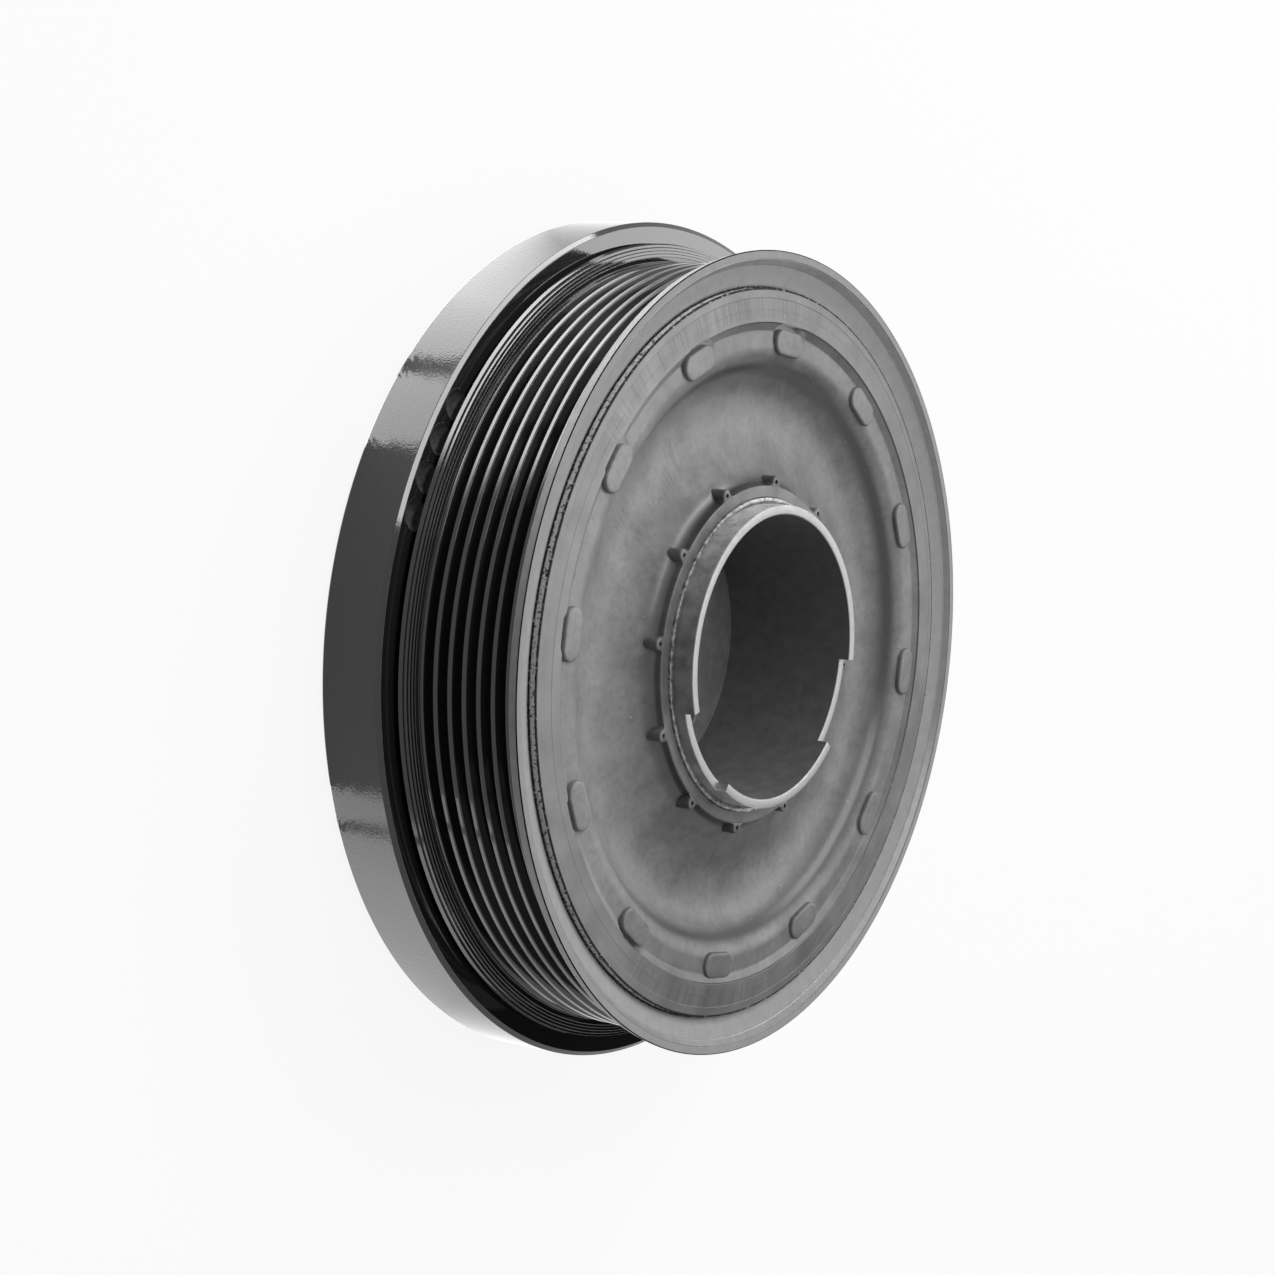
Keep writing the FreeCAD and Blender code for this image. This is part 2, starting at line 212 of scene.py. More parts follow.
# Light tables. Four flat lamps on the table beside the near half of the drum, whose gloss paint
# mirrors them; the bars between their radial edges become the dark lines along the drum.
def light_table(name, low, high, edges, fade):
    """Area light that lies beside the drum and faces up, from one corner (x, y) to the other.

    Each edge is a point, an azimuth, the side that stays lit (+1 left, -1 right) and the width of
    its soft border, which a fine grain frays; a pair of edges leaves a dark bar. The mirror image
    of a radial edge in the drum is a line along the axis. The radiance goes from the first to the
    second value of fade between its two places x."""
    fray, lamp_height = 0.008, 0.0006
    lamp = area_light(name, high[0] - low[0], high[1] - low[1], 1.0)
    lamp.data.use_nodes = True
    nodes, links = lamp.data.node_tree.nodes, lamp.data.node_tree.links
    place = nodes.new("ShaderNodeNewGeometry").outputs["Position"]
    axes = nodes.new("ShaderNodeSeparateXYZ")
    links.new(place, axes.inputs[0])
    level = ranged(nodes, links, axes.outputs["X"], *fade, kind="LINEAR")
    grain = nodes.new("ShaderNodeTexNoise")
    grain.inputs["Scale"].default_value = 1300
    grain.inputs["Detail"].default_value = 2
    links.new(place, grain.inputs["Vector"])
    for group in edges:
        lit = 0.0
        for point, azimuth, side, border in group:
            angle = np.radians(azimuth)
            across = np.array([-np.sin(angle), np.cos(angle)]) * side
            far = nodes.new("ShaderNodeVectorMath")
            far.operation = "DOT_PRODUCT"
            far.inputs[1].default_value = (across[0], across[1], 0)
            links.new(place, far.inputs[0])
            ragged = calculated(
                nodes, links, "MULTIPLY_ADD", grain.outputs["Fac"], fray, far.outputs["Value"])
            offset = float(across @ np.array(point)) + fray / 2
            edge = ranged(nodes, links, ragged, offset - border / 2, offset + border / 2)
            lit = calculated(nodes, links, "MAXIMUM", lit, edge)
        level = calculated(nodes, links, "MULTIPLY", level, lit)
    links.new(level, nodes["Emission"].inputs["Strength"])
    lamp.matrix_world = Matrix((
        (1, 0, 0, (low[0] + high[0]) / 2),
        (0, -1, 0, (low[1] + high[1]) / 2),
        (0, 0, -1, lamp_height),
        (0, 0, 0, 1)))
    lamp.visible_camera = False


light_table("light_table_top", (-0.12, 0.025), (0.06, 0.108), (
    (((-0.0830, 0.0386), 129.6, -1, 0.0004),),
    (((-0.0745, 0.0531), 108.6, 1, 0.0004), ((-0.0721, 0.0563), 101.0, -1, 0.0004))),
    (-0.057, -0.028, 4.8, 0.45))
light_table("light_table_far", (-0.26, 0.1085), (0.05, 0.26), (
    (((-0.147, 0.104), 128.0, -1, 0.050),),), (-0.060, 0.008, 11.5, 0.2))
light_table("light_table_left", (-0.26, 0.03), (-0.1205, 0.108), (
    (((-0.147, 0.104), 128.0, -1, 0.050),),), (-0.060, 0.008, 11.0, 0.2))
light_table("light_table_bottom", (-0.16, -0.18), (0.06, -0.020), (
    (((-0.0864, -0.0300), 228.0, 1, 0.0004),),
    (((-0.0838, -0.0367), 236.5, -1, 0.0004), ((-0.0829, -0.0387), 239.0, 1, 0.0004))),
    (-0.080, -0.045, 2.3, 0.6))


# Inertia ring. Machined iron drum under stoved gloss black paint, chamfered at its front edge,
# with four shallow balance drillings in the front face, each with a small raised lip.
def rounded(corners, steps=5):
    """Closed outline with eased corners and its directions, from rows (r, z, cut) in mm.

    Each corner P becomes the curve (1-t)^2 A + 2 t (1-t) P + t^2 B, where A and B lie the cut
    before and after P on its two edges. The direction is the derivative of that curve."""
    rows = np.array(corners, float)
    corner, cut = rows[:, :2], rows[:, 2:3]
    before = np.roll(corner, 1, 0) - corner
    after = np.roll(corner, -1, 0) - corner
    start = corner + before / np.linalg.norm(before, axis=1)[:, None] * cut
    stop = corner + after / np.linalg.norm(after, axis=1)[:, None] * cut
    t = np.linspace(0, 1, steps)[None, :, None]
    a, p, b = start[:, None], corner[:, None], stop[:, None]
    line = (1 - t) ** 2 * a + 2 * t * (1 - t) * p + t ** 2 * b
    direction = 2 * (1 - t) * (p - a) + 2 * t * (b - p)
    direction /= np.linalg.norm(direction, axis=2)[..., None]
    return line.reshape(-1, 2) / 1000, direction.reshape(-1, 2)


def mesh_object(name, points, faces, normals=None, sharp=None):
    """Object from an array of points and an array of quads, smooth, with its own normals if given,
    or with the edges over the sharp angle in degrees left hard."""
    mesh = bpy.data.meshes.new(name)
    mesh.vertices.add(len(points))
    mesh.vertices.foreach_set("co", np.ascontiguousarray(points, np.float32).ravel())
    mesh.loops.add(faces.size)
    mesh.loops.foreach_set("vertex_index", np.ascontiguousarray(faces, np.int32).ravel())
    mesh.polygons.add(len(faces))
    mesh.polygons.foreach_set("loop_start", np.arange(0, faces.size, faces.shape[1], dtype=np.int32))
    mesh.update(calc_edges=True)
    mesh.polygons.foreach_set("use_smooth", np.ones(len(faces), bool))
    if sharp is not None:
        mesh.set_sharp_from_angle(angle=np.radians(sharp))
    if normals is not None:
        mesh.normals_split_custom_set_from_vertices(normals.reshape(-1, 3).tolist())
    made = bpy.data.objects.new(name, mesh)
    bpy.context.scene.collection.objects.link(made)
    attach(made, "root")
    return made


def grid_faces(columns, rows, close_rows=True):
    """Quads between neighbouring points of a grid whose columns close to a loop, as its rows may.
    Point (i, j) has the number i * rows + j."""
    i = np.arange(columns)
    j = np.arange(rows if close_rows else rows - 1)
    i, j = np.meshgrid(i, j, indexing="ij")
    right, up = (i + 1) % columns, (j + 1) % rows
    quads = np.stack([i * rows + j, right * rows + j, right * rows + up, i * rows + up], -1)
    return quads.reshape(-1, 4)


def turned_profile(outline, direction, angles):
    """Surface of revolution and its normals: x = r cos a, y = r sin a, z = z for every angle a.
    An outline that runs anticlockwise in (r, z) gives faces that point outwards."""
    cos, sin = np.cos(angles)[:, None], np.sin(angles)[:, None]
    r, z = outline[None, :, 0], outline[None, :, 1]
    points = np.stack([r * cos, r * sin, z + 0 * cos], -1)
    dr, dz = direction[None, :, 0], direction[None, :, 1]
    normals = np.stack([dz * cos, dz * sin, -dr + 0 * cos], -1)
    return points, normals


def lathe(name, corners, columns, steps=5):
    """Closed ring turned from eased corners."""
    outline, direction = rounded(corners, steps)
    angles = np.arange(columns) * 2 * np.pi / columns
    points, normals = turned_profile(outline, direction, angles)
    return mesh_object(name, points.reshape(-1, 3), grid_faces(columns, len(outline)), normals)


ring_steps, front_corner = 5, 4
ring_corners = [
    (70.0, 0.0, 0.2), (90.5, 0.0, 0.2), (91.5, 1.0, 0.2), (91.5, 14.4, 0.12), (90.55, 15.1, 0.12),
    (75.0, 15.1, 0.1), (75.0, 26.4, 0.1), (74.4, 27.0, 0.1), (71.0, 27.0, 0.1), (71.0, 15.1, 0.1),
    (70.0, 14.1, 0.1)]
outline, direction = rounded(ring_corners, ring_steps)
front_edge = front_corner * ring_steps + ring_steps - 1
face_z, face_end = 0.0151, 0.0832
face_rows = np.linspace(outline[front_edge, 0], face_end, 75)[1:]
outline = np.insert(outline, front_edge + 1, np.stack([face_rows, 0 * face_rows + face_z], -1), 0)
direction = np.insert(direction, front_edge + 1, np.repeat([[-1.0, 0.0]], len(face_rows), 0), 0)
ring_angles = np.radians(np.concatenate([
    np.arange(0, 144, 0.8), np.arange(144, 166.5, 0.07), np.arange(166.5, 360, 0.8)]))
points, normals = turned_profile(outline, direction, ring_angles)

drill_angles = np.radians([147.2, 152.6, 158.1, 163.3])
drill_circle, drill_r, tip_ball_r = 0.087, 0.0031, 0.00368
lip_height, lip_width = 0.00010, 0.00042
centres = drill_circle * np.stack([np.cos(drill_angles), np.sin(drill_angles)], -1)
away = np.linalg.norm(points[..., None, :2] - centres, axis=-1).min(-1)
on_face = np.abs(points[..., 2] - face_z) < 0.00005
depth = np.sqrt(tip_ball_r ** 2 - np.minimum(away, drill_r) ** 2) - np.sqrt(tip_ball_r ** 2 - drill_r ** 2)
lip = lip_height * np.sin(np.pi * np.clip((away - drill_r) / lip_width, 0, 1)) ** 2
points[..., 2] -= np.where(on_face, depth - lip, 0)
slope = np.cross(np.roll(points, -1, 0) - np.roll(points, 1, 0),
                 np.roll(points, -1, 1) - np.roll(points, 1, 1))
slope /= np.linalg.norm(slope, axis=-1)[..., None]
near_drilling = on_face & (away < drill_r + 0.0005)
inertia_ring = mesh_object(
    "inertia_ring_drum", points.reshape(-1, 3), grid_faces(len(ring_angles), len(outline)),
    np.where(near_drilling[..., None], slope, normals))
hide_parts("inertia_ring")


def noise(nodes, links, scale, detail=3.0, stretch=None):
    """Noise on object coordinates, in cycles per metre, optionally stretched along the axes."""
    source = nodes.new("ShaderNodeTexCoord").outputs["Object"]
    if stretch is not None:
        mapping = nodes.new("ShaderNodeMapping")
        mapping.inputs["Scale"].default_value = stretch
        links.new(source, mapping.inputs["Vector"])
        source = mapping.outputs["Vector"]
    texture = nodes.new("ShaderNodeTexNoise")
    texture.inputs["Scale"].default_value = scale
    texture.inputs["Detail"].default_value = detail
    links.new(source, texture.inputs["Vector"])
    return texture.outputs["Fac"]


def ramp(nodes, links, source, low, high, from_colour, to_colour):
    """Colour that goes from one to the other as the source goes from low to high. A colour is
    three numbers or one grey level."""
    steps = nodes.new("ShaderNodeValToRGB")
    steps.color_ramp.elements[0].position = low
    steps.color_ramp.elements[0].color = (*np.broadcast_to(from_colour, 3).tolist(), 1)
    steps.color_ramp.elements[1].position = high
    steps.color_ramp.elements[1].color = (*np.broadcast_to(to_colour, 3).tolist(), 1)
    links.new(source, steps.inputs["Fac"])
    return steps.outputs["Color"]


def mottled(nodes, links, scale, detail, low, high, from_colour, to_colour):
    """Colour that follows a noise: the first below low, the second above high."""
    return ramp(nodes, links, noise(nodes, links, scale, detail), low, high, from_colour, to_colour)


def bump(nodes, links, height, distance, strength=1.0, under=None):
    """Bump from a height of 0 to 1 that stands for a distance in metres."""
    node = nodes.new("ShaderNodeBump")
    node.inputs["Strength"].default_value = strength
    node.inputs["Distance"].default_value = distance
    links.new(height, node.inputs["Height"])
    if under is not None:
        links.new(under, node.inputs["Normal"])
    return node.outputs["Normal"]


def gloss_paint(name, peel_depth):
    """Stoved black gloss paint: orange peel of a depth in metres, dust grains and thin spots."""
    material, nodes, links, shader = node_material(name)
    links.new(mottled(nodes, links, 2600, 1.0, 0.80, 0.84, (0.018, 0.018, 0.019), 0.12),
              shader.inputs["Base Color"])
    links.new(mottled(nodes, links, 180, 4, 0.3, 0.8, 0.04, 0.08), shader.inputs["Roughness"])
    peel = bump(nodes, links, noise(nodes, links, 2300, 2, (1, 1, 0.6)), peel_depth, 0.8)
    links.new(bump(nodes, links, noise(nodes, links, 5200, 2), 0.000003, 0.5, peel), shader.inputs["Normal"])
    return material


def coated(name, colour, roughness, relief=None, specular=0.5, metallic=0.0):
    """Material from rows of values. Colour and roughness are what mottled() takes (scale, detail,
    low, high and two colours), roughness may be one number, and relief is the scale, detail,
    depth in metres and strength of a bump."""
    material, nodes, links, shader = node_material(name)
    links.new(mottled(nodes, links, *colour), shader.inputs["Base Color"])
    if isinstance(roughness, float):
        shader.inputs["Roughness"].default_value = roughness
    else:
        links.new(mottled(nodes, links, *roughness), shader.inputs["Roughness"])
    if relief is not None:
        scale, detail, depth, strength = relief
        links.new(bump(nodes, links, noise(nodes, links, scale, detail), depth, strength),
                  shader.inputs["Normal"])
    shader.inputs["Specular IOR Level"].default_value = specular
    shader.inputs["Metallic"].default_value = metallic
    return material


def face_centres(piece):
    """Radius and height in metres of the centre of every face of a piece."""
    centres = np.empty(len(piece.data.polygons) * 3, np.float32)
    piece.data.polygons.foreach_get("center", centres)
    centres = centres.reshape(-1, 3).astype(float)
    return np.hypot(centres[:, 0], centres[:, 1]), centres[:, 2]


def finish_faces(piece, numbers):
    """Gives every face of a piece the number of its material in the piece's list."""
    piece.data.polygons.foreach_set("material_index", numbers.astype(np.int32))


inertia_ring.data.materials.append(gloss_paint("stoved_gloss_black", 0.00006))
thin_gloss = gloss_paint("thin_gloss_black", 0.000006)
inertia_ring.data.materials.append(thin_gloss)
inertia_ring.data.materials.append(coated("drilled_satin", (900, 3, 0.35, 0.7, 0.06, 0.13), 0.35))
ring_r, ring_z = face_centres(inertia_ring)
in_drilling = (ring_r > 0.0835) & (ring_r < 0.0906) & (ring_z > 0.013) & (ring_z < 0.01508)
finish_faces(inertia_ring, np.where(in_drilling, 2, ring_z > 0.01436))


# Damper rubber. Ring of black rubber pressed between the seat of the hub and the drum; its
# ends draw in a little between the two metals.
damper_rubber = lathe("damper_rubber_ring", [
    (66.0, 1.5, 0.05), (66.4, 1.9, 0.3), (69.6, 1.9, 0.3), (70.0, 1.5, 0.05),
    (70.0, 13.5, 0.05), (69.6, 13.1, 0.3), (66.4, 13.1, 0.3), (66.0, 13.5, 0.05)], 360)
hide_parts("damper_rubber")
damper_rubber.data.materials.append(coated(
    "damper_rubber_black", (700, 4, 0.3, 0.7, 0.018, 0.032), 0.62, (2500, 3, 0.00004, 0.6)))


# Plain bearing. Moulded bush with a thrust flange that carries the belt rim on the collar
# of the drum; only the edge of its flange shows in the gap behind the rim.
plain_bearing = lathe("plain_bearing_bush", [
    (75.1, 15.1, 0.1), (83.0, 15.1, 0.15), (83.0, 16.4, 0.15), (77.0, 16.4, 0.1),
    (77.0, 26.6, 0.2), (75.1, 26.6, 0.2)], 360)
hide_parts("plain_bearing")
plain_bearing.data.materials.append(coated(
    "bearing_polymer", (900, 3, 0.35, 0.7, 0.016, 0.030), 0.5, (3000, 2, 0.00002, 0.5)))


# Belt rim. Rolled steel rim with a thin rear flange, six V grooves 3.56 mm apart and a thicker
# front flange with a chamfered mouth; gloss black outside, satin black from the front flange
# inwards, drawn in a grey that is painted sheen, less of it on the mouth and least on the flange's side.
belt_pitch, first_rib, ribs_after_first = 3.56, 18.74, 6
tip_r, root_r, tip_flat, tip_lean = 83.05, 80.05, 0.86, 0.2
flank = (tip_r - root_r) * np.tan(np.radians(20))
last_rib = first_rib + ribs_after_first * belt_pitch
rim_corners = [
    (77.0, 16.4, 0.05), (87.0, 16.4, 0.06), (86.73, 17.25, 0.06), (86.2, 17.28, 0.05),
    (86.05, 17.75, 0.06), (85.5, 17.78, 0.05), (85.4, 18.05, 0.05), (84.85, 18.07, 0.05),
    (84.75, 18.28, 0.05), (84.2, 18.29, 0.04), (84.1, 18.4, 0.04), (tip_r, first_rib - tip_flat / 2, 0.14)]
for groove in range(ribs_after_first):
    low = first_rib + groove * belt_pitch + tip_flat / 2
    high = low + belt_pitch - tip_flat
    rim_corners += [(tip_r - tip_lean, low, 0.20), (root_r, low + flank, 0.2),
                    (root_r, high - flank, 0.2), (tip_r, high, 0.14)]
rim_corners += [
    (tip_r - tip_lean, last_rib + tip_flat / 2, 0.20), (85.6, 42.3, 0.3), (86.08, 44.4, 0.3),
    (85.9, 44.57, 0.2), (84.38, 44.57, 0.02), (84.31, 44.36, 0.02), (84.14, 44.41, 0.03),
    (83.15, 43.42, 0.06), (82.9, 43.3, 0.05), (82.9, 41.86, 0.05), (77.0, 38.38, 0.05)]
belt_rim = lathe("belt_rim", rim_corners, 528, 4)
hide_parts("pulley_rim")
# Painted sheen: the satin black coat is drawn mid grey with no gloss; the mouth and the side of the flange
# get copies in less grey.
satin_sheen_grey = coated("satin_black_painted_sheen", (420, 5, 0.35, 0.75, 0.33, 0.37),
                     (240, 4, 0.3, 0.8, 0.34, 0.46), (2400, 3, 0.000012, 0.6), specular=0.0)
belt_rim.data.materials.append(thin_gloss)
belt_rim.data.materials.append(satin_sheen_grey)
belt_rim.data.materials.append(coated("satin_mouth_painted_sheen", (420, 5, 0.35, 0.75, 0.24, 0.29), 0.26))
belt_rim.data.materials.append(coated(
    "satin_flange_side_painted_sheen", (420, 5, 0.35, 0.75, 0.14, 0.17), 0.5, specular=0.1))
flange_back, flange_front = 0.0424, 0.04452
rim_r, rim_z = face_centres(belt_rim)
mouth = (rim_r < 0.0844) & (rim_z > 0.0433) & (rim_z < flange_front)
flange_side = (rim_r > 0.0851) & (rim_z > flange_back) & (rim_z < flange_front)
finish_faces(belt_rim, np.where(flange_side, 3, np.where(mouth, 2, rim_z > flange_back)))


# Outer ring of the coupling. Sheet steel in satin black, drawn in the grey of painted sheen,
# pressed into the rim; its front edge is flared like a dish and the rubber is bonded to its inner half.
outer_sheet = lathe("coupling_outer_sheet", [
    (75.0, 28.0, 0.3), (77.0, 28.0, 0.3), (77.0, 38.38, 0.2), (82.9, 41.86, 0.3), (82.9, 43.3, 0.12),
    (79.0, 41.75, 0.1), (75.0, 39.54, 0.3)], 720, 6)
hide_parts("coupling_outer_ring")
outer_sheet.data.materials.append(satin_sheen_grey)


# Coupling rubber. Moulded black rubber bonded between the two sheet rings: a flat outer face, a
# small step, a level ring with twelve pads in shallow pockets, a deep bowl and a raised collar
# with a lug in line with each pad. Its level faces are grey, partly from bloom and partly as painted
# sheen, paler still as painted light on the near side, with painted shade round the collar's foot.
rubber_steps, step_corner, rubber_columns = 4, 8, 864
rubber_corners = [
    (75.0, 39.54, 0.1), (77.95, 41.28, 0.1), (77.85, 43.22, 0.22), (76.05, 43.38, 0.08), (76.0, 43.33, 0.04),
    (73.6, 43.56, 0.04), (73.5, 43.63, 0.04), (70.98, 43.80, 0.1), (70.78, 43.50, 0.1), (69.2, 42.72, 0.30),
    (63.55, 42.62, 2.5), (58.6, 37.7, 3.4), (50.2, 36.3, 5.0), (42.6, 38.4, 2.8), (38.3, 40.3, 1.4),
    (36.75, 42.0, 0.7), (36.4, 43.80, 0.35), (33.85, 43.80, 0.2), (33.80, 28.50, 0.3), (37.0, 30.5, 1.0),
    (40.0, 33.0, 1.5), (46.0, 33.2, 2.0), (53.0, 31.6, 3.0), (60.0, 33.6, 2.5), (69.0, 33.4, 1.8),
    (73.0, 32.0, 1.2), (75.0, 29.5, 0.3)]
outline, direction = rounded(rubber_corners, rubber_steps)
step_at = step_corner * rubber_steps + rubber_steps - 1
step_share = np.linspace(0, 1, 8)[1:-1, None]
step_rows = outline[step_at] * (1 - step_share) + outline[step_at + 1] * step_share
outline = np.insert(outline, step_at + 1, step_rows, 0)
step_direction = np.repeat(direction[step_at:step_at + 1], len(step_rows), 0)
direction = np.insert(direction, step_at + 1, step_direction, 0)
rubber_angles = np.arange(rubber_columns) * 2 * np.pi / rubber_columns
points, normals = turned_profile(outline, direction, rubber_angles)

pad_first, pad_turn, pad_circle, pad_end_r = 26.3, 30, 67.0, 2.75
pocket_r, pocket_wall, pocket_floor = 4.2, 0.5, 0.0420
pocketed_middle, pocketed_half = 160, 85
off = (np.degrees(rubber_angles) - pad_first + pad_turn / 2) % pad_turn - pad_turn / 2
along = np.radians(off)[:, None] * outline[None, :, 0] * 1000
across = outline[None, :, 0] * 1000 - pad_circle
reach = np.hypot(across, np.maximum(np.abs(along) - pad_end_r, 0))
pocket = np.clip((pocket_r - reach) / pocket_wall, 0, 1) * (across > 1.5) * (outline[None, :, 1] > 0.0425)
pocket *= (np.abs(np.degrees(rubber_angles) - pocketed_middle) < pocketed_half)[:, None]
points[..., 2] -= pocket * np.maximum(points[..., 2] - pocket_floor, 0)
rubber = mesh_object("coupling_rubber_body", points.reshape(-1, 3), grid_faces(rubber_columns, len(outline)),
                     np.where(pocket[..., None] > 0, [0, 0, 1.0], normals))
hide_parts("coupling_rubber")


def point_value(piece, name, values):
    """Stores one number for every point of a piece under a name that its material reads."""
    attribute = piece.data.attributes.new(name, "FLOAT", "POINT")
    attribute.data.foreach_set("value", np.ascontiguousarray(values, np.float32).ravel())


def stored(nodes, name):
    """Socket with the number that point_value stored."""
    attribute = nodes.new("ShaderNodeAttribute")
    attribute.attribute_name = name
    return attribute.outputs["Fac"]


level_share = np.clip((normals[..., 2] / np.linalg.norm(normals, axis=-1) - 0.72) / 0.12, 0, 1)
point_value(rubber, "steep", 1 - level_share)


def spread(shape, angles):
    """Copies of one shape turned about Z: (x cos a - y sin a, x sin a + y cos a, z)."""
    cos, sin = np.cos(angles)[:, None, None], np.sin(angles)[:, None, None]
    x, y, z = shape[None, ..., 0], shape[None, ..., 1], shape[None, ..., 2]
    return np.stack([x * cos - y * sin, x * sin + y * cos, z + 0 * cos], -1)


def repeated(faces, shapes, size):
    """Faces of one shape for equal shapes of so many points, numbered one after the other."""
    return (faces[None] + np.arange(shapes)[:, None, None] * size).reshape(-1, 4)


pad_angles = np.radians(pad_first + pad_turn * np.arange(12))
around = np.linspace(0, 2 * np.pi, 48, endpoint=False)
inset = np.array([0.0, 0.0, 0.12, 0.25, 0.45, 0.9, 2.0, 2.74])
height = np.array([41.9, 42.75, 43.22, 43.33, 43.38, 43.39, 43.40, 43.40])
reach = pad_end_r - inset[None, :]
pad = np.stack(np.broadcast_arrays(
    pad_circle + reach * np.cos(around)[:, None],
    np.clip(np.sin(around)[:, None] * 40, -1, 1) * pad_end_r + reach * np.sin(around)[:, None],
    height[None, :]), -1) / 1000
pad_faces = repeated(grid_faces(len(around), len(inset), False), len(pad_angles), pad.size // 3)
pads = mesh_object("rubber_pads", spread(pad, pad_angles).reshape(-1, 3), pad_faces, sharp=50)

pin_at, peg_r, fillet, collar_r = 37.3, 1.35, 1.0, 36.35
end = np.linspace(-np.pi / 2, np.pi / 2, 25)[:, None]
peg = np.concatenate([pin_at + peg_r * np.cos(end), peg_r * np.sin(end)], 1)
turn = np.linspace(-np.pi / 2, -np.pi, 9)[:, None]
foot = np.concatenate([collar_r + fillet + fillet * np.cos(turn), peg_r + fillet + fillet * np.sin(turn)], 1)
hidden = np.array([(35.5, 2.1), (35.5, 0.7), (35.5, -0.7), (35.5, -2.1)])
lug_edge = np.concatenate([peg, foot, hidden, foot[::-1] * (1, -1)])
shrink = np.array([1.0, 1.0, 1.0, 0.965, 0.87])
hole_share = np.array([0.52, 0.5, 0.5, 0.05])
around = np.arctan2(lug_edge[:, 1], lug_edge[:, 0] - pin_at)
centre = np.array([pin_at, 0.0])
outer_rows = centre + (lug_edge - centre)[:, None] * shrink[None, :, None]
hole_rows = centre + np.stack([np.cos(around), np.sin(around)], -1)[:, None] * hole_share[None, :, None]
height = np.array([38.9, 40.7, 43.3, 43.62, 43.75, 43.75, 43.68, 42.5, 42.4])
lug_plan = np.concatenate([outer_rows, hole_rows], 1)
lug = np.concatenate([lug_plan, np.broadcast_to(height[None, :, None], (*lug_plan.shape[:2], 1))], -1) / 1000
lug_faces = repeated(grid_faces(len(lug_edge), len(height), False), len(pad_angles), lug.size // 3)
lugs = mesh_object("rubber_lugs", spread(lug, pad_angles).reshape(-1, 3), lug_faces, sharp=50)


def mixed(nodes, links, share, first, second, blend="MIX"):
    """Colour mix: the first where the share is 0, the second, which may be fixed, where it is 1."""
    mix = nodes.new("ShaderNodeMix")
    mix.data_type = "RGBA"
    mix.blend_type = blend
    links.new(share, mix.inputs["Factor"])
    links.new(first, mix.inputs["A"])
    if isinstance(second, tuple):
        mix.inputs["B"].default_value = (*second, 1)
    else:
        links.new(second, mix.inputs["B"])
    return mix.outputs["Result"]


def darken(nodes, links, colour, mask, streaks, level):
    """Colour brought down to a level of itself where the mask and the streaks are high."""
    amount = calculated(nodes, links, "MULTIPLY", mask, streaks)
    return mixed(nodes, links, amount, colour, (level,) * 3, "MULTIPLY")


def window(nodes, links, source, low, high, border):
    """1 between two values of the source, falling smoothly to 0 over the border on each side."""
    return calculated(nodes, links, "MULTIPLY", ranged(nodes, links, source, low - border, low),
                      ranged(nodes, links, source, high + border, high))


def radial_streaks(nodes, links, azimuth, radius, turns, along, detail):
    """Noise in polar coordinates, with many more waves round the axis than along the radius."""
    polar = nodes.new("ShaderNodeCombineXYZ")
    links.new(azimuth, polar.inputs["X"])
    links.new(radius, polar.inputs["Y"])
    scaled = nodes.new("ShaderNodeMapping")
    scaled.inputs["Scale"].default_value = (turns, along, 1)
    links.new(polar.outputs[0], scaled.inputs["Vector"])
    texture = nodes.new("ShaderNodeTexNoise")
    texture.inputs["Scale"].default_value = 1.0
    texture.inputs["Detail"].default_value = detail
    links.new(scaled.outputs[0], texture.inputs["Vector"])
    return texture.outputs["Fac"]


material, nodes, links, shader = node_material("moulded_rubber")
axes = nodes.new("ShaderNodeSeparateXYZ")
links.new(nodes.new("ShaderNodeTexCoord").outputs["Object"], axes.inputs[0])
azimuth = calculated(nodes, links, "ARCTAN2", axes.outputs["Y"], axes.outputs["X"])
flat = nodes.new("ShaderNodeCombineXYZ")
links.new(axes.outputs["X"], flat.inputs["X"])
links.new(axes.outputs["Y"], flat.inputs["Y"])
length = nodes.new("ShaderNodeVectorMath")
length.operation = "LENGTH"
links.new(flat.outputs[0], length.inputs[0])
radius = length.outputs["Value"]

steep = stored(nodes, "steep")
cloud = noise(nodes, links, 130, 6)
# Painted sheen: the level faces get a grey, partly real bloom, while the steep walls keep the rubber's
# black.
bloom_and_sheen = ramp(nodes, links, cloud, 0.30, 0.72, (0.102, 0.102, 0.103), (0.172, 0.172, 0.171))
# Painted light: towards -X, the near side, the rubber is drawn paler still.
near_side_light_grey = ramp(nodes, links, cloud, 0.30, 0.72, 0.20, 0.28)
near_side_light_share = ranged(nodes, links, axes.outputs["X"], -0.015, -0.060, 0.0, 0.75)
hatch = ramp(nodes, links, radial_streaks(nodes, links, azimuth, radius, 95, 60, 2), 0.46, 0.60, 0.0, 1.0)
stain = ramp(nodes, links, radial_streaks(nodes, links, azimuth, radius, 60, 90, 6), 0.34, 0.74, 0.0, 1.0)
blotches = mottled(nodes, links, 170, 4, 0.40, 0.60, 0.0, 1.0)
mottles = mottled(nodes, links, 620, 5, 0.46, 0.62, 0.0, 1.0)
specks = mottled(nodes, links, 1500, 1.0, 0.79, 0.82, 0.0, 1.0)
colour = mixed(nodes, links, near_side_light_share, mixed(nodes, links, steep, bloom_and_sheen, (0.030,) * 3), near_side_light_grey)
outer_face = window(nodes, links, radius, 0.0722, 0.0758, 0.0006)
for start, stop, border, level in ((1.55, 2.45, 0.25, 0.72), (-2.0, -1.45, 0.2, 0.78)):
    sector = window(nodes, links, azimuth, start, stop, border)
    scraped = calculated(nodes, links, "MULTIPLY", outer_face, sector)
    colour = darken(nodes, links, colour, scraped, hatch, level)
bowl_side = window(nodes, links, radius, 0.0465, 0.0520, 0.0035)
